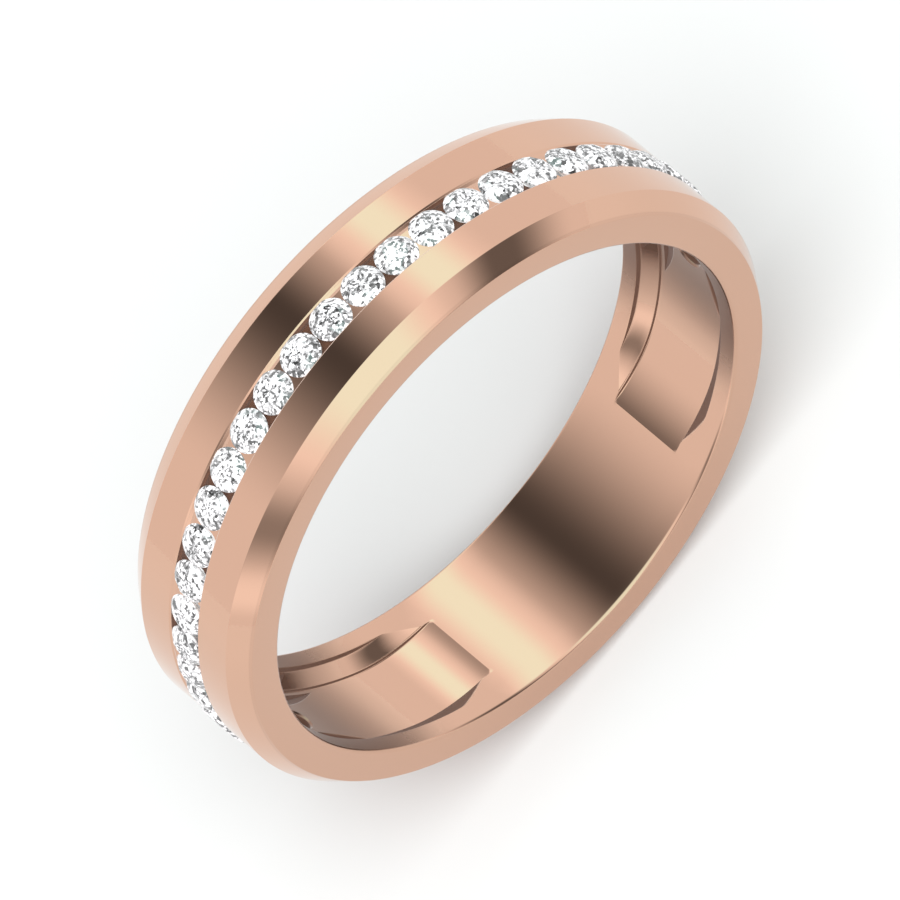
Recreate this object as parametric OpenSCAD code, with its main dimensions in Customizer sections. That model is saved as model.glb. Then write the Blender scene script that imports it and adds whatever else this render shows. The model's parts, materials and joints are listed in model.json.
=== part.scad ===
// Channel-set wedding band: one cast shank, hollowed inside, and a row of round brilliants.
// The finger axis lies along Y, the middle of the stone row is at +Z, and the origin is at
// the centre of the bore, halfway across the band.

/* [Band] */
// Diameter of the finger bore
bore_d = 19.8; // [15:0.1:24]
// Width of the band along the finger
band_w = 5.6; // [4.6:0.1:7]
// Thickness of the band, from the bore to the outside
wall = 1.66; // [1.5:0.01:2.2]
// Axial width of the chamfer round each outer edge
chamfer_w = 0.73; // [0.3:0.01:0.8]
// Radial depth of that chamfer
chamfer_depth = 0.5; // [0.2:0.01:0.7]
// Rounding of each edge of the bore
bore_round = 0.13; // [0.05:0.01:0.3]

/* [Stones] */
// Number of stones in the row
stone_count = 30; // [8:2:32]
// Diameter of each round brilliant
stone_d = 1.5; // [1.2:0.01:1.8]
// Space between the girdles of two neighbours
stone_gap = 0.01; // [0.005:0.005:0.1]
// Height of the tables above the outside of the band
table_proud = 0.1; // [0:0.01:0.15]

/* [Channel] */
// Depth that each girdle tucks under the channel walls
girdle_tuck = 0.08; // [0.03:0.01:0.15]
// Height of the channel floor below the outside of the band
channel_depth = 0.42; // [0.38:0.01:0.5]
// Bright-cut bevel along the top of each channel wall
channel_bevel = 0.045; // [0.02:0.005:0.08]
// Plain channel left past the last stone at each end
channel_end = 0.12; // [0.05:0.01:0.5]
// Clearance round each girdle in its notch
seat_clearance = 0.006; // [0.002:0.001:0.02]
// Diameter of the azure hole under each stone
azure_d = 1.06; // [0.6:0.01:1.1]
// Countersink at the finger end of each azure hole
azure_bevel = 0.05; // [0.02:0.01:0.1]

/* [Hollow] */
// Width of the plain strip along each edge of the bore
strip_w = 0.75; // [0.5:0.01:1]
// Relief of the bore between the two strips, so that the strips bear on the finger
land_relief = 0.01; // [0.005:0.005:0.05]
// Width of the groove beside each strip
groove_w = 0.565; // [0.3:0.01:0.7]
// Depth of the grooves below the bore, along their deep side next to the panel
groove_depth = 0.5; // [0.2:0.01:0.55]
// Slope of the groove floors, up to the strips, in degrees
groove_slope = 30; // [0:1:35]
// Depth of the middle panel below the bore
panel_depth = 0.6; // [0.3:0.01:0.62]
// Depth of the pockets behind the channel walls
pocket_depth = 1.0; // [0.7:0.01:1.1]
// Ledge left along both sides of each pocket
pocket_ledge = 0.04; // [0.02:0.01:0.1]
// Width of the rail left between a groove and the panel's relief
rail_w = 0.15; // [0.1:0.01:0.3]
// Depth of the relief below the bore, along its deep side at the rail
relief_depth = 0.85; // [0.7:0.01:0.9]
// Slope of the relief floors, up to the panel, in degrees
relief_slope = 24; // [20:1:35]
// Angle from the top at which the panel runs out into the plain bore
panel_end = 152.1; // [145:0.1:160]
// Angle from the top at which the grooves run out
groove_end = 150; // [140:0.1:155]
// Angle from the top at which the reliefs run out
relief_end = 122; // [118:0.1:135]
// Angle from the top at which the pockets stop
pocket_end = 117; // [110:0.1:130]
// Radius of the cutter that leaves each run-out
runout_r = 5; // [3:0.1:6]

/* [Hidden] */
// Round brilliant proportions, as shares of the stone's diameter
TABLE_SHARE = 0.57;
CROWN_SHARE = 0.15;
GIRDLE_SHARE = 0.03;
PAVILION_SHARE = 0.43;
// Star facets reach half way to the girdle, and lower halves reach most of the way to the culet
STAR_SHARE = 0.5;
LOWER_SHARE = 0.77;
// Mains round a brilliant, and girdle steps between two of them
MAINS = 8;
GIRDLE_STEPS = 4;

bore_r = bore_d / 2;
outer_r = bore_r + wall;
// Radius of the plain bore between the two strips
mid_bore_r = bore_r + land_relief;
half_w = band_w / 2;
stone_r = stone_d / 2;
girdle_t = GIRDLE_SHARE * stone_d;
crown_h = CROWN_SHARE * stone_d;
pavilion_h = PAVILION_SHARE * stone_d;
// Ring radius of the lower edge of the girdles
girdle_ring_r = outer_r + table_proud - crown_h - girdle_t;
pitch_angle = 2 * asin((stone_d + stone_gap) / 2 / girdle_ring_r);
row_half_angle = stone_count / 2 * pitch_angle;
channel_half_angle = row_half_angle + channel_end / outer_r * 180 / PI;
channel_half_w = stone_r - girdle_tuck;
channel_floor_r = outer_r - channel_depth;
groove_out = half_w - strip_w;
panel_half_w = groove_out - groove_w;
relief_out = panel_half_w - rail_w;
// The relief's cutter goes on past the line where its floor has come up to the panel
relief_in = relief_out - (relief_depth - panel_depth) / tan(relief_slope) - 0.1;
// Overlap of the cutters, so that no two faces of a cut are flush
CUT = 0.5;
// Distance kept between the relief of the bore and the grooves' outer walls
LAND_MARGIN = 0.1;
$fn = 96;

function stone_name(i) = str("stone_", i < 10 ? "0" : "", i);
// Angle of stone i from the top of the ring, counted from one end of the row
function stone_angle(i) = (i - (stone_count + 1) / 2) * pitch_angle;
// Angle from a run-out cutter's centre line to the point where it meets radius r
function runout_reach(r, depth_r) =
    acos((pow(depth_r - runout_r, 2) + r * r - runout_r * runout_r) / (2 * (depth_r - runout_r) * r));

// A 2D outline of radius and width, swept to both sides of the top by half_angle
module sweep_over_top(half_angle) {
    rotate([90, 0, 0]) rotate([0, 0, 90 - half_angle]) rotate_extrude(angle = 2 * half_angle) children();
}

module full_turn() {
    rotate([90, 0, 0]) rotate_extrude() children();
}

// Outline of a cut from inside the bore to depth_r, between two places across the band
module cut_outline(depth_r, from_w, to_w) {
    translate([bore_r - CUT, from_w]) square([depth_r - bore_r + CUT, to_w - from_w]);
}

// One side of a round cutter whose floor is tangent to depth_r and meets radius end_r at end_angle.
// It is deepest at deep_w, and slope narrows it towards shallow_w, so that its end comes to a point.
module runout(depth_r, end_r, end_angle, deep_w, shallow_w, slope, side) {
    turn = side * (end_angle - runout_reach(end_r, depth_r));
    cut_w = abs(shallow_w - deep_w);
    rotate([0, turn, 0]) translate([0, deep_w, depth_r - runout_r])
        rotate([shallow_w > deep_w ? -90 : 90, 0, 0])
            cylinder(h = cut_w, r1 = runout_r, r2 = runout_r - cut_w * tan(slope));
}

// A recess over the top of the ring that runs out at end_angle to both sides
module recess(depth_r, end_r, end_angle, from_w, to_w) {
    sweep_over_top(end_angle - runout_reach(end_r, depth_r)) cut_outline(depth_r, from_w, to_w);
    for (side = [-1, 1]) runout(depth_r, end_r, end_angle, from_w, to_w, 0, side);
}

// The same with a floor that slopes across the band, from depth_r at deep_w up towards shallow_w
module sloped_recess(depth_r, end_r, end_angle, deep_w, shallow_w, slope) {
    rise = abs(shallow_w - deep_w) * tan(slope);
    sweep_over_top(end_angle - runout_reach(end_r, depth_r)) polygon([
        [bore_r - CUT, deep_w], [depth_r, deep_w], [depth_r - rise, shallow_w], [bore_r - CUT, shallow_w]
    ]);
    for (side = [-1, 1]) runout(depth_r, end_r, end_angle, deep_w, shallow_w, slope, side);
}

// A cut made on both sides of the band's middle
module both_sides() {
    children();
    mirror([0, 1, 0]) children();
}

module band_blank() {
    full_turn() difference() {
        polygon([
            [bore_r, -half_w], [outer_r - chamfer_depth, -half_w], [outer_r, chamfer_w - half_w],
            [outer_r, half_w - chamfer_w], [outer_r - chamfer_depth, half_w], [bore_r, half_w]
        ]);
        for (side = [-1, 1]) difference() {
            translate([bore_r - CUT, side > 0 ? half_w - bore_round : -half_w - CUT])
                square([CUT + bore_round, CUT + bore_round]);
            translate([bore_r + bore_round, side * (half_w - bore_round)]) circle(r = bore_round);
        }
    }
}

// The relief between the two strips. It stops short of the grooves' outer walls, so that the two are never
// flush.
module land_cut() {
    reach = groove_out - LAND_MARGIN;
    full_turn() translate([bore_r - CUT, -reach]) square([CUT + land_relief, 2 * reach]);
}

// The open channel, with a bevel along the top of both walls
module channel() {
    sweep_over_top(channel_half_angle) polygon([
        [channel_floor_r, -channel_half_w],
        [outer_r - channel_bevel, -channel_half_w],
        [outer_r, -channel_half_w - channel_bevel],
        [outer_r + CUT, -channel_half_w - channel_bevel],
        [outer_r + CUT, channel_half_w + channel_bevel],
        [outer_r, channel_half_w + channel_bevel],
        [outer_r - channel_bevel, channel_half_w],
        [channel_floor_r, channel_half_w]
    ]);
}

// The notch that holds the girdles, cut to the stones' own crown and pavilion slopes
module girdle_notch() {
    crown_rise = (girdle_tuck + seat_clearance) * crown_h / (stone_r * (1 - TABLE_SHARE));
    pavilion_drop = (girdle_tuck + seat_clearance) * pavilion_h / stone_r;
    low = girdle_ring_r - seat_clearance;
    high = girdle_ring_r + girdle_t + seat_clearance;
    reach = stone_r + seat_clearance;
    both_sides() sweep_over_top(row_half_angle) polygon([
        [low, channel_half_w - CUT], [low - pavilion_drop, channel_half_w], [low, reach],
        [high, reach], [high + crown_rise, channel_half_w], [high, channel_half_w - CUT]
    ]);
}

module azure(i) {
    panel_r = bore_r + panel_depth;
    rotate([0, stone_angle(i), 0]) {
        translate([0, 0, bore_r]) cylinder(h = channel_floor_r + CUT / 5 - bore_r, d = azure_d);
        translate([0, 0, panel_r - azure_bevel])
            cylinder(h = 2 * azure_bevel, d1 = azure_d + 4 * azure_bevel, d2 = azure_d);
    }
}

// The band as it is cut from the outside, before it is hollowed
module drilled_band() {
    difference() {
        band_blank();
        channel();
        girdle_notch();
        for (i = [1:stone_count]) azure(i);
    }
}

// The hollowing goes in the order land, panel, grooves, reliefs, pockets, each into what the last one left
module panelled_band() {
    difference() {
        drilled_band();
        land_cut();
        recess(bore_r + panel_depth, mid_bore_r, panel_end, -panel_half_w, panel_half_w);
    }
}

module grooved_band() {
    difference() {
        panelled_band();
        both_sides() sloped_recess(
            bore_r + groove_depth, mid_bore_r, groove_end, panel_half_w, groove_out, groove_slope);
    }
}

module relieved_band() {
    difference() {
        grooved_band();
        both_sides() sloped_recess(
            bore_r + relief_depth, bore_r + panel_depth, relief_end, relief_out, relief_in, relief_slope);
    }
}

module shank() {
    color("#D3A58C") difference() {
        relieved_band();
        both_sides() sweep_over_top(pocket_end)
            cut_outline(bore_r + pocket_depth, panel_half_w + pocket_ledge, groove_out - pocket_ledge);
    }
}

// A point at a height, a distance from the stone's axis and a number of half mains round it
function round_point(r, half_mains, z) =
    [r * cos(half_mains * 180 / MAINS), r * sin(half_mains * 180 / MAINS), z];

// A round brilliant, with the lower edge of its girdle at height 0 and its table on top
module brilliant() {
    table_r = TABLE_SHARE * stone_r;
    table_z = girdle_t + crown_h;
    half_cos = cos(180 / MAINS);
    star_r = table_r * half_cos + STAR_SHARE * (stone_r - table_r * half_cos);
    star_z = girdle_t + crown_h * (stone_r - star_r * half_cos) / (stone_r - table_r);
    lower_r = (1 - LOWER_SHARE) * stone_r;
    lower_z = -pavilion_h * (1 - lower_r * half_cos / stone_r);
    steps = MAINS * GIRDLE_STEPS;
    step = 2 / GIRDLE_STEPS;
    half = GIRDLE_STEPS / 2;
    // Rings of points, from the table down to the culet
    table_at = 0;
    star_at = table_at + MAINS;
    upper_at = star_at + MAINS;
    under_at = upper_at + steps;
    lower_at = under_at + steps;
    culet = lower_at + MAINS;
    points = concat(
        [for (k = [0:MAINS - 1]) round_point(table_r, 2 * k, table_z)],
        [for (k = [0:MAINS - 1]) round_point(star_r, 2 * k + 1, star_z)],
        [for (j = [0:steps - 1]) round_point(stone_r, j * step, girdle_t)],
        [for (j = [0:steps - 1]) round_point(stone_r, j * step, 0)],
        [for (k = [0:MAINS - 1]) round_point(lower_r, 2 * k + 1, lower_z)],
        [[0, 0, -pavilion_h]]
    );
    faces = concat(
        [[for (k = [MAINS - 1:-1:0]) table_at + k]],
        [for (k = [0:MAINS - 1]) [table_at + k, table_at + (k + 1) % MAINS, star_at + k]],
        [for (k = [0:MAINS - 1])
            [table_at + k, star_at + k, upper_at + k * GIRDLE_STEPS, star_at + (k + MAINS - 1) % MAINS]],
        [for (k = [0:MAINS - 1], m = [0:GIRDLE_STEPS - 1])
            [star_at + k, upper_at + (k * GIRDLE_STEPS + m + 1) % steps, upper_at + k * GIRDLE_STEPS + m]],
        [for (j = [0:steps - 1])
            [upper_at + j, upper_at + (j + 1) % steps, under_at + (j + 1) % steps, under_at + j]],
        [for (k = [0:MAINS - 1], m = [0:GIRDLE_STEPS - 1])
            [lower_at + k, under_at + k * GIRDLE_STEPS + m, under_at + (k * GIRDLE_STEPS + m + 1) % steps]],
        [for (k = [0:MAINS - 1])
            [culet, lower_at + (k + MAINS - 1) % MAINS, under_at + k * GIRDLE_STEPS, lower_at + k]]
    );
    polyhedron(points = points, faces = faces, convexity = 2);
}

module stone(i) {
    color("#E9EDF2") rotate([0, stone_angle(i), 0]) translate([0, 0, girdle_ring_r]) brilliant();
}

shank();
for (i = [1:stone_count]) stone(i);
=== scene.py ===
import json
import math

import bmesh
import bpy
from mathutils import Matrix, Vector


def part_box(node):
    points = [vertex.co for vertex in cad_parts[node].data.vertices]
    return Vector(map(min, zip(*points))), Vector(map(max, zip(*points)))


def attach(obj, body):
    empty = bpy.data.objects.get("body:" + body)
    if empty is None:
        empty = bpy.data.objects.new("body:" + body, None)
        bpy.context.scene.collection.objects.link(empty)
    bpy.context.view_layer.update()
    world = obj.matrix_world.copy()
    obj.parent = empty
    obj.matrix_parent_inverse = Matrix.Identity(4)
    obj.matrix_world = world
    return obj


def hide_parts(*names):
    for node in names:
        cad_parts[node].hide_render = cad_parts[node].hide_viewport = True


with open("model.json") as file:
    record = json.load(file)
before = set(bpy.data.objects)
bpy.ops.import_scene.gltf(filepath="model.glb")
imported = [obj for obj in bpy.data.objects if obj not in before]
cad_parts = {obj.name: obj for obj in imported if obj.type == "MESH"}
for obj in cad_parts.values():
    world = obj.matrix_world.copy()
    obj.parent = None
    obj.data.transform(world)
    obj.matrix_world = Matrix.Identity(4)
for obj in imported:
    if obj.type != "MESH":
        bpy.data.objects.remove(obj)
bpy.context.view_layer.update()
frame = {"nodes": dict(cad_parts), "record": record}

MM = 0.001
STONES = {name: node for name, node in frame["nodes"].items() if name != "shank"}
MOUNTS = {mount["name"]: mount for mount in frame["record"]["mounts"]}
SHANK_LOW, SHANK_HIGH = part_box("shank")

# ---------------------------------------------------------------- sizes of the shank, in millimetres
# The sizes down to ROW_END come from the frame. Angles are in degrees from the top of the ring.
BORE_R = MOUNTS["finger_bore"]["dims"]["r_mm"]
OUTER_R = SHANK_HIGH.x / MM
HALF_W = SHANK_HIGH.y / MM


def stone_turn(stone):
    """The angle of a stone from the top of the ring towards +X."""
    corners = [vertex.co for vertex in stone.data.vertices]
    centre = sum(corners, Vector()) / len(corners)
    return math.degrees(math.atan2(centre.x, centre.z))


STONE_TURNS = sorted(stone_turn(stone) for stone in STONES.values())
PITCH = (STONE_TURNS[-1] - STONE_TURNS[0]) / (len(STONE_TURNS) - 1)
ROW_END = PITCH * len(STONE_TURNS) / 2

BORE_ROUND = 0.13
CHAMFER_W = 0.73
CHAMFER_DEPTH = 0.5
CHANNEL_HALF_W = 0.67
CHANNEL_DEPTH = 0.42
CHANNEL_BEVEL = 0.045
# The turn from the last stone's share of the row to the channel's end wall
CHANNEL_SPARE = 0.6
# The notch under each channel wall, which holds the girdles
NOTCH_REACH = 0.756
NOTCH_TOP_DEPTH = 0.119
NOTCH_BOTTOM_DEPTH = 0.176
NOTCH_CROWN_RISE = 0.06
NOTCH_PAVILION_DROP = 0.074
AZURE_R = 0.53
AZURE_BEVEL = 0.05

STRIP_W = 0.75
GROOVE_W = 0.565
GROOVE_DEPTH = 0.5
GROOVE_SLOPE = math.tan(math.radians(30))
PANEL_DEPTH = 0.6
POCKET_DEPTH = 1.0
# How far each long wall of a pocket stands in from the groove's edge
POCKET_OUTER_LEDGE = 0.07
POCKET_LEDGE = 0.04
RAIL_W = 0.15
RELIEF_DEPTH = 0.85
RELIEF_SLOPE = math.tan(math.radians(24))
PANEL_END = 152.1
GROOVE_END = 150.0
RELIEF_END = 122.0
RELIEF_REJOIN = 126.0
POCKET_END = 117.0
RUNOUT_R = 5.0
# Softened edges and corners
CREASE_ROUND = 0.04
EDGE_ROUND = 0.03
CORNER_ROUND = 0.05

CHANNEL_FLOOR_R = OUTER_R - CHANNEL_DEPTH
CHANNEL_END = ROW_END + CHANNEL_SPARE
NOTCH_TOP_R = OUTER_R - NOTCH_TOP_DEPTH
NOTCH_BOTTOM_R = OUTER_R - NOTCH_BOTTOM_DEPTH
GROOVE_OUT = HALF_W - STRIP_W
PANEL_HALF_W = GROOVE_OUT - GROOVE_W
RELIEF_OUT = PANEL_HALF_W - RAIL_W
PANEL_R = BORE_R + PANEL_DEPTH

# ---------------------------------------------------------------- mesh of the shank
# It is built as a quarter, over half a turn and half the width, and mirrored twice
STEPS_PER_STONE = 12
STEPS_ACROSS = 6
TURN_STEP = 0.63
# How far past a step in the surface its second edge is taken
TINY = 1e-6
ROUND_STEPS = 7
POCKET_STEPS = 3
RING_STEPS = 3
# Points of a hole's half rim, as many as round the outline of a stone's share of a floor
RIM_STEPS = STEPS_PER_STONE + 2 * STEPS_ACROSS
WELD = 1e-5 * MM
SHARP_ANGLE = math.radians(16)


class Recess:
    """A recess over the top of the ring, concentric with the bore, that runs out along a cutter's arc."""

    def __init__(self, depth_r, end_r, end, rejoin):
        self.end_r = end_r
        self.end = end
        self.rejoin = rejoin
        self.lift = depth_r - RUNOUT_R
        self.start = end - self.reach(0)

    def reach(self, drop):
        """The turn from the cutter's centre to the run-out, where the floor is shallower by drop."""
        top = self.lift**2 + self.end_r**2 - (RUNOUT_R - drop) ** 2
        return math.degrees(math.acos(top / (2 * self.lift * self.end_r)))

    def floor(self, turn, drop=0.0):
        """Radius of the floor at a turn, as if it went on past its end."""
        past = math.radians(max(0.0, turn - self.start))
        square = (RUNOUT_R - drop) ** 2 - (self.lift * math.sin(past)) ** 2
        return self.lift * math.cos(past) + math.sqrt(max(0.0, square))

    def fitted(self, turn, drop):
        """The turn moved so that the mark at the recess's end lies where its floor is shallower by drop."""
        end = self.start + self.reach(drop)
        if turn <= self.start or turn >= self.rejoin:
            return turn
        if turn <= self.end:
            return self.start + (turn - self.start) * (end - self.start) / (self.end - self.start)
        return end + (turn - self.end) * (self.rejoin - end) / (self.rejoin - self.end)


PANEL = Recess(PANEL_R, BORE_R, PANEL_END, PANEL_END)
GROOVE = Recess(BORE_R + GROOVE_DEPTH, BORE_R, GROOVE_END, PANEL_END)
RELIEF = Recess(BORE_R + RELIEF_DEPTH, PANEL_R, RELIEF_END, RELIEF_REJOIN)


def point(turn, across, radius):
    """A point by its turn from the top, its place across the band and its radius, in metres."""
    angle = math.radians(turn)
    return Vector((radius * math.sin(angle), across, radius * math.cos(angle))) * MM


def spread(start, end, count):
    """Evenly spaced values from start to end, both included."""
    return [start + (end - start) * index / count for index in range(count + 1)]


def turns_over_half():
    """Every turn at which the quarter has a row of points, with each step in the surface taken twice."""
    stones = spread(0, ROW_END, STEPS_PER_STONE * len(STONES) // 2)
    marks = [ROW_END, CHANNEL_END, POCKET_END, RELIEF_END, PANEL.start, GROOVE_END, PANEL_END, 180.0]
    turns = stones[:-1]
    for first, last in zip(marks, marks[1:]):
        count = max(1, round((last - first) / TURN_STEP))
        doubled = first in (ROW_END, CHANNEL_END, POCKET_END)
        turns += [first, first + TINY] if doubled else [first]
        turns += spread(first, last, count)[1:-1]
    return turns + [180.0]


def eased(start, corner, end, radius):
    """Points of the arc that rounds a corner between two straight runs of a profile."""
    before = (Vector(start) - Vector(corner)).normalized()
    after = (Vector(end) - Vector(corner)).normalized()
    half = before.angle(after) / 2
    centre = Vector(corner) + (before + after).normalized() * radius / math.sin(half)
    first = Vector(corner) + before * radius / math.tan(half) - centre
    sweep = math.pi - 2 * half
    sign = 1 if first.x * after.y - first.y * after.x > 0 else -1
    arc = []
    for step in range(ROUND_STEPS + 1):
        turned = Matrix.Rotation(sign * sweep * step / ROUND_STEPS, 2) @ first
        arc.append(tuple(centre + turned))
    return arc


def quarter_arc(across, radius, across_to, radius_to, hollow):
    """Points of a quarter turn between two places of a section. It bulges from its first end's own radius
    when hollow, and from its other end's when not."""
    points = []
    for step in range(ROUND_STEPS + 1):
        angle = math.pi / 2 * step / ROUND_STEPS
        along, round_off = math.sin(angle), 1 - math.cos(angle)
        if hollow:
            along, round_off = round_off, along
        points.append((across + (across_to - across) * along, radius + (radius_to - radius) * round_off))
    return points


def outside_section(turn):
    """The outside at a turn, from the bore's rounded edge over the band to the channel's floor,
    as points of (across, radius)."""
    side = (HALF_W, BORE_R + BORE_ROUND)
    low_crease = (HALF_W, OUTER_R - CHAMFER_DEPTH)
    high_crease = (HALF_W - CHAMFER_W, OUTER_R)
    bevel_top = (CHANNEL_HALF_W + CHANNEL_BEVEL, OUTER_R)
    section = [(HALF_W - BORE_ROUND, BORE_R)]
    section += quarter_arc(HALF_W - BORE_ROUND, BORE_R, *side, hollow=False)[1:]
    section += eased(side, low_crease, high_crease, CREASE_ROUND)
    section += eased(low_crease, high_crease, bevel_top, CREASE_ROUND)
    section.append(bevel_top)
    reach = NOTCH_REACH if turn <= ROW_END + TINY / 2 else CHANNEL_HALF_W
    channel = [
        (CHANNEL_HALF_W, OUTER_R - CHANNEL_BEVEL),
        (CHANNEL_HALF_W, NOTCH_TOP_R + NOTCH_CROWN_RISE),
        (reach, NOTCH_TOP_R),
        (reach, NOTCH_BOTTOM_R),
        (CHANNEL_HALF_W, NOTCH_BOTTOM_R - NOTCH_PAVILION_DROP),
        (CHANNEL_HALF_W, CHANNEL_FLOOR_R),
    ]
    if turn > CHANNEL_END + TINY / 2:
        channel = [(CHANNEL_HALF_W, OUTER_R)] * len(channel)
    return section + channel


def step_section(turn, across, high_floor, low_floor):
    """The wall where the surface drops from one floor to the next, with its edge and its corner rounded.
    Each floor gives its radius at a place across the band."""
    high_r, low_r = high_floor(across), low_floor(across)
    edge = min(EDGE_ROUND, (low_r - high_r) / 3)
    corner = min(CORNER_ROUND, (low_r - high_r) / 3)
    places = quarter_arc(across + edge, high_floor(across + edge), across, high_r + edge, hollow=False)
    places += quarter_arc(across, low_r - corner, across - corner, low_floor(across - corner), hollow=True)
    return [(turn, place, radius) for place, radius in places]


def relief_edge(turn):
    """The place across the band where the sloped floor of the relief comes up to the panel."""
    return RELIEF_OUT - max(0.0, RELIEF.floor(turn) - PANEL_R) / RELIEF_SLOPE


def inside_section(turn):
    """The inside at a turn, from the bore's rounded edge to the inner edge of the relief,
    as points of (turn, across, radius)."""
    in_pocket = turn <= POCKET_END + TINY / 2
    panel_r = max(BORE_R, PANEL.floor(turn))

    def groove(across):
        drop = (across - PANEL_HALF_W) * GROOVE_SLOPE
        fitted = GROOVE.fitted(turn, drop)
        return fitted, max(BORE_R, GROOVE.floor(fitted, drop))

    def groove_r(across):
        return groove(across)[1]

    section = [(turn, HALF_W - BORE_ROUND, BORE_R)]
    section += step_section(groove(GROOVE_OUT)[0], GROOVE_OUT, lambda across: BORE_R, groove_r)
    outer, inner = GROOVE_OUT - POCKET_OUTER_LEDGE, PANEL_HALF_W + POCKET_LEDGE
    section.append((groove(outer)[0], outer, groove(outer)[1]))
    for across in spread(outer, inner, POCKET_STEPS):
        fitted, radius = groove(across)
        section.append((fitted, across, BORE_R + POCKET_DEPTH if in_pocket else radius))
    section.append((groove(inner)[0], inner, groove(inner)[1]))
    section += step_section(turn, PANEL_HALF_W, groove_r, lambda across: panel_r)
    section += [
        (turn, RELIEF_OUT, panel_r),
        (turn, RELIEF_OUT, max(panel_r, RELIEF.floor(turn))),
        (turn, relief_edge(turn), panel_r),
    ]
    return section


class Skin:
    """Collects the faces of the shank's surface."""

    def __init__(self):
        self.mesh = bmesh.new()

    def add_rows(self, rows):
        """Faces between rows of points, each row as long as the next."""
        made = [[self.mesh.verts.new(place) for place in row] for row in rows]
        for low, high in zip(made, made[1:]):
            for index in range(len(low) - 1):
                self.mesh.faces.new((low[index], low[index + 1], high[index + 1], high[index]))

    def finish(self, name):
        """Mirrors the quarter twice, closes it and returns it as an object."""
        bmesh.ops.remove_doubles(self.mesh, verts=self.mesh.verts, dist=WELD)
        for axis in "XY":
            whole = self.mesh.verts[:] + self.mesh.edges[:] + self.mesh.faces[:]
            bmesh.ops.mirror(self.mesh, geom=whole, matrix=Matrix.Identity(4), merge_dist=WELD, axis=axis)
        bmesh.ops.remove_doubles(self.mesh, verts=self.mesh.verts, dist=WELD)
        bmesh.ops.dissolve_degenerate(self.mesh, edges=self.mesh.edges, dist=WELD)
        bmesh.ops.recalc_face_normals(self.mesh, faces=self.mesh.faces)
        data = bpy.data.meshes.new(name)
        self.mesh.to_mesh(data)
        self.mesh.free()
        made = bpy.data.objects.new(name, data)
        bpy.context.scene.collection.objects.link(made)
        return made


def half_rim(centre, hole_r, radius):
    """Half of a hole's rim on a cylinder, as (turn, across)."""
    rim = []
    for step in range(RIM_STEPS + 1):
        angle = math.pi * (1 - step / RIM_STEPS)
        turn = centre + math.degrees(math.asin(hole_r * math.cos(angle) / radius))
        rim.append((turn, hole_r * math.sin(angle)))
    return rim


def half_frame(turns, edge):
    """Half of the outline of one stone's share of a floor, from its middle line round its edge and back."""
    up = [(turns[0], across) for across in spread(0, edge(turns[0]), STEPS_ACROSS)]
    over = [(turn, edge(turn)) for turn in turns]
    down = [(turns[-1], across) for across in spread(edge(turns[-1]), 0, STEPS_ACROSS)]
    return up[:-1] + over + down[1:]


def between(first, second, share):
    """A line of points part of the way from one line to another."""
    return [tuple(a + (b - a) * share for a, b in zip(one, two)) for one, two in zip(first, second)]


def add_stone_place(skin, turns):
    """One stone's share of the channel's floor and of the panel, and the azure hole between them."""
    centre = (turns[0] + turns[-1]) / 2
    channel_frame = half_frame(turns, lambda turn: CHANNEL_HALF_W)
    panel_frame = half_frame(turns, relief_edge)
    channel_rim = half_rim(centre, AZURE_R, CHANNEL_FLOOR_R)
    bevel_rim = half_rim(centre, AZURE_R, PANEL_R + AZURE_BEVEL)
    panel_rim = half_rim(centre, AZURE_R + AZURE_BEVEL, PANEL_R)
    rows = []
    for share in spread(0, 1, RING_STEPS):
        rows.append([point(*place, CHANNEL_FLOOR_R) for place in between(channel_frame, channel_rim, share)])
    rows.append([point(*place, PANEL_R + AZURE_BEVEL) for place in bevel_rim])
    for share in spread(1, 0, RING_STEPS):
        rows.append([point(*place, PANEL_R) for place in between(panel_frame, panel_rim, share)])
    skin.add_rows(rows)


def make_shank():
    """The whole shank: its outside, its inside, the floors with their holes and the floors past the row."""
    skin = Skin()
    turns = turns_over_half()
    skin.add_rows([[point(turn, *place) for place in outside_section(turn)] for turn in turns])
    skin.add_rows([[point(*place) for place in inside_section(turn)] for turn in turns])
    for index in range(len(STONES) // 2):
        first = index * STEPS_PER_STONE
        add_stone_place(skin, turns[first : first + STEPS_PER_STONE + 1])
    outside_rows, inside_rows = [], []
    for turn in turns:
        if turn < ROW_END:
            continue
        radius = CHANNEL_FLOOR_R if turn <= CHANNEL_END + TINY / 2 else OUTER_R
        places = spread(CHANNEL_HALF_W, 0, STEPS_ACROSS)
        outside_rows.append([point(turn, across, radius) for across in places])
        panel_r = max(BORE_R, PANEL.floor(turn))
        places = spread(relief_edge(turn), 0, STEPS_ACROSS)
        inside_rows.append([point(turn, across, panel_r) for across in places])
    skin.add_rows(outside_rows)
    skin.add_rows(inside_rows)
    shank = skin.finish("cast_shank")
    shade_smooth(shank)
    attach(shank, "root")
    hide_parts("shank")
    return shank


def shade_smooth(obj):
    """Smooth shading that breaks at sharp edges, with the large faces keeping their own direction."""
    obj.data.shade_smooth()
    obj.data.set_sharp_from_angle(angle=SHARP_ANGLE)
    weighted = obj.modifiers.new("face_weights", "WEIGHTED_NORMAL")
    weighted.keep_sharp = True
    weighted.weight = 100


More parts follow.
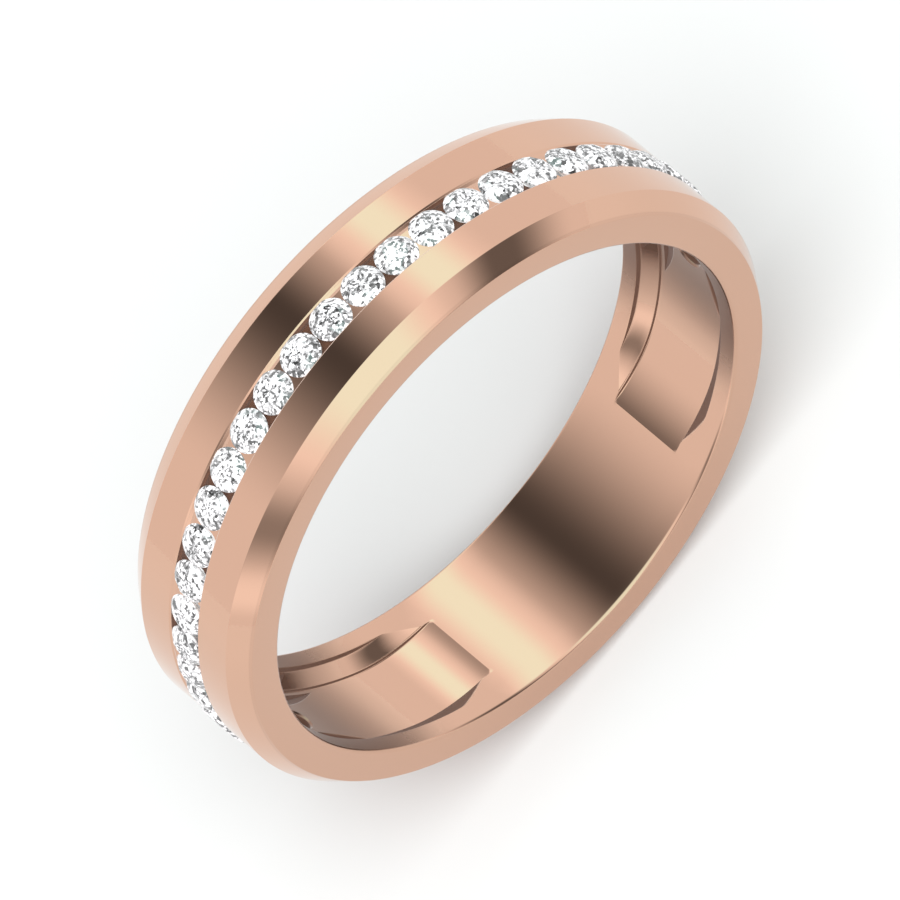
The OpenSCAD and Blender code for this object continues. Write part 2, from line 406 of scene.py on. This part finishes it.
# ---------------------------------------------------------------- node graphs
class Socket:
    """A node's output, on which arithmetic adds Math nodes."""

    def __init__(self, graph, socket):
        self.graph = graph
        self.socket = socket

    def math(self, operation, *others):
        """A Math node with this value as its first."""
        return self.graph.math(operation, self, *others)

    def __add__(self, other):
        return self.math("ADD", other)

    __radd__ = __add__

    def __sub__(self, other):
        return self.math("SUBTRACT", other)

    def __rsub__(self, other):
        return self.graph.math("SUBTRACT", other, self)

    def __mul__(self, other):
        return self.math("MULTIPLY", other)

    __rmul__ = __mul__

    def __truediv__(self, other):
        return self.math("DIVIDE", other)

    def smooth_step(self, low, high):
        """0 below low, 1 above high, and a smooth rise between them."""
        return self.graph.node(
            "ShaderNodeMapRange",
            {"interpolation_type": "SMOOTHSTEP"},
            {"Value": self, "From Min": low, "From Max": high},
        )

    def between(self, low, high):
        """1 between two values, and 0 elsewhere."""
        return self.math("GREATER_THAN", low) * self.math("LESS_THAN", high)


class Graph:
    """One node tree of a material or of the studio."""

    def __init__(self, owner):
        owner.use_nodes = True
        self.tree = owner.node_tree
        self.tree.nodes.clear()

    def node(self, kind, settings=None, inputs=None, output=0):
        """Adds a node: first its settings, then the values or links of its sockets."""
        made = self.tree.nodes.new(kind)
        for name, value in (settings or {}).items():
            if name == "stops":
                self.set_stops(made.color_ramp, value)
            elif name == "interpolation":
                made.color_ramp.interpolation = value
            else:
                setattr(made, name, value)
        for name, value in (inputs or {}).items():
            if isinstance(value, Socket):
                self.tree.links.new(value.socket, made.inputs[name])
            else:
                made.inputs[name].default_value = value
        return Socket(self, made.outputs[output]) if made.outputs else made

    @staticmethod
    def set_stops(ramp, stops):
        """Gives a ramp its stops, each a position and a colour."""
        while len(ramp.elements) > 1:
            ramp.elements.remove(ramp.elements[-1])
        for index, (position, colour) in enumerate(stops):
            element = ramp.elements[0] if index == 0 else ramp.elements.new(position)
            element.position = position
            element.color = (*colour, 1)

    def math(self, operation, *values):
        return self.node("ShaderNodeMath", {"operation": operation}, dict(enumerate(values)))

    def split(self, vector):
        """The three parts of a vector or a colour."""
        outputs = self.node("ShaderNodeSeparateXYZ", inputs={0: vector}).socket.node.outputs
        return [Socket(self, output) for output in outputs]

    def mix(self, share, first, second):
        """A mix of two colours."""
        inputs = {0: share, 6: first, 7: second}
        return self.node("ShaderNodeMix", {"data_type": "RGBA"}, inputs, output=2)


# ---------------------------------------------------------------- studio and camera
CAMERA_ELEVATION = math.radians(60.08)
CAMERA_ROLL = math.radians(49.97)
CAMERA_DISTANCE = 20 * BORE_R * MM
VIEW_WIDTH = 2.948 * BORE_R * MM
FLOOR_Z = SHANK_LOW.z
FLOOR_SIZE = 40 * BORE_R * MM
FLOOR_NEAR_SHADE = (0.642, 0.612, 0.620, 1)
FLOOR_FAR = (0.672, 0.640, 0.650, 1)
# The floor is painted a little darker near the ring, as painted shade: it changes from its near tone to its
# far one between these distances from the ring's middle
NEAR_REACH = 2.5 * BORE_R * MM
FAR_REACH = 8 * BORE_R * MM
LAMP_STRENGTH = 2.5
LAMP_SPREAD = math.radians(60)
LAMP_TILT = (math.radians(22), math.radians(-8), 0)


def grey(level):
    return (level, level, level)


ROOM = (*grey(1.09), 1)
BLACK_FLAG = (*grey(0.10), 1)
DARK_FLAG = (*grey(0.20), 1)
THIN_FLAG = (*grey(0.40), 1)
SOFTBOX = (*grey(1.35), 1)
SOFTBOX_CORE = (1.35, 1.80, 1.70, 1)
# What hangs round the ring, each as the turn from straight up towards +X at which it starts, is full,
# is full to and ends, in degrees, and its brightness. A softbox has a brighter core of its own.
BEHIND = [
    (-60, 0, 0, 35, BLACK_FLAG),
    (20, 34, 50, 64, SOFTBOX),
    (30, 40, 44, 56, SOFTBOX_CORE),
]
FRONT = [
    (-94, -86, -84, -72, SOFTBOX),
    (-80, -62, -60, -40, THIN_FLAG),
    (-44, -33, 31, 42, SOFTBOX),
    (-36, -8, 16, 34, SOFTBOX_CORE),
    (40, 60, 67, 91, DARK_FLAG),
]
# The front lights give way to the ones behind between these slants of a reflection along the bore
FRONT_END = -0.25
BEHIND_START = 0.45


def hang(graph, turn, lights):
    """The brightness round the ring: the plain room, with each light or flag let into it by soft edges."""
    brightness = ROOM
    for start, full, full_to, end, colour in lights:
        share = turn.smooth_step(start, full) * (1 - turn.smooth_step(full_to, end))
        brightness = graph.mix(share, brightness, colour)
    return brightness


def make_studio():
    world = bpy.data.worlds.new("studio")
    bpy.context.scene.world = world
    graph = Graph(world)
    across, along, up = graph.split(graph.node("ShaderNodeTexCoord", output="Generated"))
    turn = across.math("ARCTAN2", up) * math.degrees(1)
    behind = hang(graph, turn, BEHIND)
    front = hang(graph, turn, FRONT)
    lights = graph.mix(along.smooth_step(FRONT_END, BEHIND_START), front, behind)
    background = graph.node("ShaderNodeBackground", inputs={"Color": lights, "Strength": 1.0})
    graph.node("ShaderNodeOutputWorld", inputs={"Surface": background})


def make_lamp():
    """A wide soft lamp overhead for the floor and the ring's shadow. Polished faces don't mirror it."""
    data = bpy.data.lights.new("overhead_lamp", "SUN")
    data.energy = LAMP_STRENGTH
    data.angle = LAMP_SPREAD
    lamp = bpy.data.objects.new("overhead_lamp", data)
    bpy.context.scene.collection.objects.link(lamp)
    lamp.rotation_euler = LAMP_TILT
    lamp.visible_glossy = False


def make_floor():
    bpy.ops.mesh.primitive_plane_add(size=FLOOR_SIZE, location=(0, 0, FLOOR_Z))
    floor = bpy.context.object
    floor.name = "floor"
    material = bpy.data.materials.new("floor_paper")
    graph = Graph(material)
    position = graph.node("ShaderNodeTexCoord", output="Object")
    distance = graph.node("ShaderNodeVectorMath", {"operation": "LENGTH"}, {0: position}, output="Value")
    # Painted shade: the floor is a little darker near the ring
    paper = graph.mix(distance.smooth_step(NEAR_REACH, FAR_REACH), FLOOR_NEAR_SHADE, FLOOR_FAR)
    shader = graph.node(
        "ShaderNodeBsdfPrincipled",
        inputs={"Base Color": paper, "Roughness": 1.0, "Specular IOR Level": 0.0},
    )
    graph.node("ShaderNodeOutputMaterial", inputs={"Surface": shader})
    floor.data.materials.append(material)


def make_camera():
    data = bpy.data.cameras.new("camera")
    data.type = "ORTHO"
    data.ortho_scale = VIEW_WIDTH
    data.clip_start = CAMERA_DISTANCE / 100
    data.clip_end = CAMERA_DISTANCE * 10
    camera = bpy.data.objects.new("camera", data)
    bpy.context.scene.collection.objects.link(camera)
    to_camera = Vector((0, -math.cos(CAMERA_ELEVATION), math.sin(CAMERA_ELEVATION)))
    level = Matrix.Rotation(math.pi / 2 - CAMERA_ELEVATION, 4, "X")
    rolled = level @ Matrix.Rotation(-CAMERA_ROLL, 4, "Z")
    camera.matrix_world = Matrix.Translation(CAMERA_DISTANCE * to_camera) @ rolled
    bpy.context.scene.camera = camera


# ---------------------------------------------------------------- materials
GOLD = (0.658, 0.407, 0.296, 1)
# The flat sides are painted a little darker than the rest, as painted shade
SIDE_SHADE_GOLD = (0.599, 0.370, 0.269, 1)
# The hollow behind the stones is painted darker, as painted shade; its walls and the channel under the stones
# are painted darker still, as painted shade, and are rougher and less metallic
HOLLOW_SHADE_GOLD = (0.272, 0.168, 0.127, 1)
WALL_SHADE_GOLD = (0.127, 0.050, 0.028, 1)
WALL_ROUGHNESS = 0.5
WALL_DULLNESS = 0.8
SMEAR_GOLD = (0.62, 0.36, 0.25, 1)
SMEAR_SHARE = 0.08
SMEAR_SCALE = 450.0
POLISH_ROUGHNESS = 0.025
SMEAR_ROUGHNESS = 0.03
HAIRLINE_ROUGHNESS = 0.025
HAIRLINE_STRENGTH = 0.012
HAIRLINE_DEPTH = 0.02
# Hairlines a metre across the band, and how little they change along a degree of turn
HAIRLINES = 9000.0
HAIRLINE_TURN = 0.004
# The inside of the ring ends and its outside starts between these radii
INSIDE_R = CHANNEL_FLOOR_R - 0.1
OUTSIDE_R = CHANNEL_FLOOR_R - 0.02
# The hollow's painted shade and the painted shade on its strips fade out between these turns
HOLLOW_FADE = (116.0, 136.0)
STRIP_FADE = (120.0, 140.0)
STRIP_SHADE = 0.55
# The slant across the band at which a face counts as a wall
WALL_SLANT = (0.75, 0.95)
# How far a face lies past the panel or the bore before it counts as part of the relief or the groove
RELIEF_SKIN = (0.004, 0.02)
GROOVE_SKIN = (0.01, 0.05)
# Room at the edges of the groove and of the notches, and past the pockets in degrees
GROOVE_ROOM = 0.02
NOTCH_ROOM = 0.01
POCKET_ROOM = 0.01

STONE_R = 0.75
# Stops of (share of the shards, brightness) from the darkest shards to the white ones
GREY_STEPS = [(0.0, 0.03), (0.22, 0.10), (0.34, 0.25), (0.44, 0.50), (0.53, 0.95)]
STONE_TINT = (1.0, 0.94, 0.97)
RAYS_OUT = 9.0
RAYS_ROUND = 3.2
SHARDS_ACROSS = 12.0
# How far the two patterns move on from one stone to the next
RAY_SHIFT = 7.3
SHARD_SHIFT = 3.7


class RingPlace:
    """Where a point of the surface lies round the ring, for use in a material."""

    def __init__(self, graph):
        self.position = graph.node("ShaderNodeTexCoord", output="Object")
        x, self.y, z = graph.split(self.position)
        self.turn = x.math("ARCTAN2", z) * math.degrees(1)
        self.radius = (x * x + z * z).math("SQRT")
        self.off_middle = self.y.math("ABSOLUTE")
        self.off_top = self.turn.math("ABSOLUTE")


def largest(first, *others):
    """The largest of some values."""
    for other in others:
        first = first.math("MAXIMUM", other)
    return first


def hollow_shade(graph, place):
    """How much painted shade a face inside the ring gets, with a rougher, less metallic skin: 1 on walls, in
    the holes, the relief and the pockets and in the groove on the -Y side, and part of it on the strips
    beside the pockets."""
    facing_y = graph.split(graph.node("ShaderNodeTexCoord", output="Normal"))[1]
    steep = facing_y.math("ABSOLUTE").smooth_step(*WALL_SLANT)
    bored = place.radius.smooth_step((PANEL_R + AZURE_BEVEL) * MM, (PANEL_R + 2 * AZURE_BEVEL) * MM)
    relieved = place.radius.smooth_step(*((PANEL_R + skin) * MM for skin in RELIEF_SKIN))
    beside_hole = ((AZURE_R + AZURE_BEVEL) * MM, (AZURE_R + 2 * AZURE_BEVEL) * MM)
    relieved = relieved * place.off_middle.smooth_step(*beside_hole)
    in_groove = place.off_middle.between((PANEL_HALF_W + GROOVE_ROOM) * MM, (GROOVE_OUT - GROOVE_ROOM) * MM)
    in_groove = in_groove * place.radius.smooth_step(*((BORE_R + skin) * MM for skin in GROOVE_SKIN))
    pocketed = in_groove * (1 - place.off_top.math("GREATER_THAN", POCKET_END + POCKET_ROOM))
    shaded_groove = in_groove * place.y.math("LESS_THAN", 0.0)
    strips = place.off_middle.math("GREATER_THAN", GROOVE_OUT * MM)
    strips = strips * (1 - place.off_top.smooth_step(*STRIP_FADE)) * STRIP_SHADE
    return largest(steep, bored, relieved, pocketed, shaded_groove, strips)


def channel_shade(place):
    """Painted shade: 1 in the channel under every second gap between the stones, with the gap at the top
    among them.
    """
    in_channel = place.off_middle.math("LESS_THAN", (NOTCH_REACH + NOTCH_ROOM) * MM)
    below_girdles = 1 - place.radius.smooth_step(NOTCH_BOTTOM_R * MM, NOTCH_TOP_R * MM)
    every_second = (place.turn / (2 * PITCH) + 0.25).math("FRACT").math("LESS_THAN", 0.5)
    return in_channel * below_girdles * every_second


def rose_gold():
    """Polished rose gold: fine hairlines along the band, faint smears, painted shade in the hollow, darker
    and rougher on its walls, and painted shade on the flat sides.
    """
    material = bpy.data.materials.new("rose_gold")
    graph = Graph(material)
    place = RingPlace(graph)
    outside = place.radius.smooth_step(INSIDE_R * MM, OUTSIDE_R * MM)
    side = place.off_middle.smooth_step((HALF_W - BORE_ROUND) * MM, (HALF_W - BORE_ROUND / 2) * MM)
    plain = largest(side, outside)
    # bright is 1 away from the hollow; inside the hollow the gold is painted darker, as painted shade
    bright = largest(plain, place.off_top.smooth_step(*HOLLOW_FADE))
    # Painted shade: walls, holes, relief, pockets, the -Y groove, the strips and every second channel gap are
    # painted dark brown, and are also made rougher and less metallic
    wall = largest(hollow_shade(graph, place) * (1 - plain), channel_shade(place) * outside)
    # Painted shade: the flat sides and the hollow take their darker painted colours, and the walls darker
    # still
    tone = graph.mix(side, graph.mix(bright, HOLLOW_SHADE_GOLD, GOLD), SIDE_SHADE_GOLD)
    tone = graph.mix(wall, tone, WALL_SHADE_GOLD)
    smear = graph.node(
        "ShaderNodeTexNoise",
        inputs={"Vector": place.position, "Scale": SMEAR_SCALE, "Detail": 3.0, "Roughness": 0.6},
    )
    alloy = graph.mix(smear * SMEAR_SHARE, tone, SMEAR_GOLD)
    along = graph.node(
        "ShaderNodeCombineXYZ",
        inputs={0: place.turn * HAIRLINE_TURN, 1: place.y * HAIRLINES, 2: place.radius * HAIRLINES},
    )
    hairline = graph.node("ShaderNodeTexNoise", inputs={"Vector": along, "Scale": 3.0, "Detail": 2.0})
    rough = hairline * HAIRLINE_ROUGHNESS + smear * SMEAR_ROUGHNESS + POLISH_ROUGHNESS + wall * WALL_ROUGHNESS
    bump = graph.node(
        "ShaderNodeBump",
        inputs={"Strength": HAIRLINE_STRENGTH, "Distance": HAIRLINE_DEPTH * MM, "Height": hairline},
    )
    shader = graph.node(
        "ShaderNodeBsdfPrincipled",
        inputs={
            "Base Color": alloy,
            "Metallic": 1 - wall * WALL_DULLNESS,
            "Roughness": rough,
            "Normal": bump,
        },
    )
    graph.node("ShaderNodeOutputMaterial", inputs={"Surface": shader})
    return material


def brilliant():
    """A brilliant as it looks face up: painted reflections, shards of white and grey that stand for the light
    thrown back by the pavilion.
    """
    material = bpy.data.materials.new("brilliant")
    graph = Graph(material)
    place = RingPlace(graph)
    share = place.turn / PITCH
    index = share.math("FLOOR")
    u = (share - index - 0.5) * (2 * STONE_R)
    v = place.y / MM
    reach = (u * u + v * v).math("SQRT")
    around = v.math("ARCTAN2", u)
    # Rays are longer out from the middle than they are wide, and shards are as many at the rim as inside
    polar = graph.node(
        "ShaderNodeCombineXYZ", inputs={0: reach * RAYS_OUT, 1: around * RAYS_ROUND, 2: index * RAY_SHIFT}
    )
    flat = graph.node(
        "ShaderNodeCombineXYZ", inputs={0: u * SHARDS_ACROSS, 1: v * SHARDS_ACROSS, 2: index * SHARD_SHIFT}
    )
    rays = graph.node("ShaderNodeTexVoronoi", inputs={"Vector": polar, "Scale": 1.0}, output="Color")
    shards = graph.node("ShaderNodeTexVoronoi", inputs={"Vector": flat, "Scale": 1.0}, output="Color")
    value = graph.split(rays)[0] * 0.5 + graph.split(shards)[0] * 0.5
    # Painted reflection: the shards' greys and whites stand for light from the facets
    stops = [(place, [level * tint for tint in STONE_TINT]) for place, level in GREY_STEPS]
    tone = graph.node("ShaderNodeValToRGB", {"stops": stops, "interpolation": "CONSTANT"}, {0: value})
    shader = graph.node(
        "ShaderNodeBsdfPrincipled",
        inputs={"Base Color": tone, "Roughness": 0.02, "IOR": 2.42, "Specular IOR Level": 0.35},
    )
    graph.node("ShaderNodeOutputMaterial", inputs={"Surface": shader})
    return material


def give(obj, material):
    obj.data.materials.clear()
    obj.data.materials.append(material)


make_studio()
make_lamp()
make_floor()
make_camera()
# The polished faces mirror the studio and the floor, but not one another
shank = make_shank()
give(shank, rose_gold())
shank.visible_glossy = False
stone_material = brilliant()
for stone in STONES.values():
    give(stone, stone_material)
    stone.visible_glossy = False

bpy.context.scene.view_settings.view_transform = "Standard"
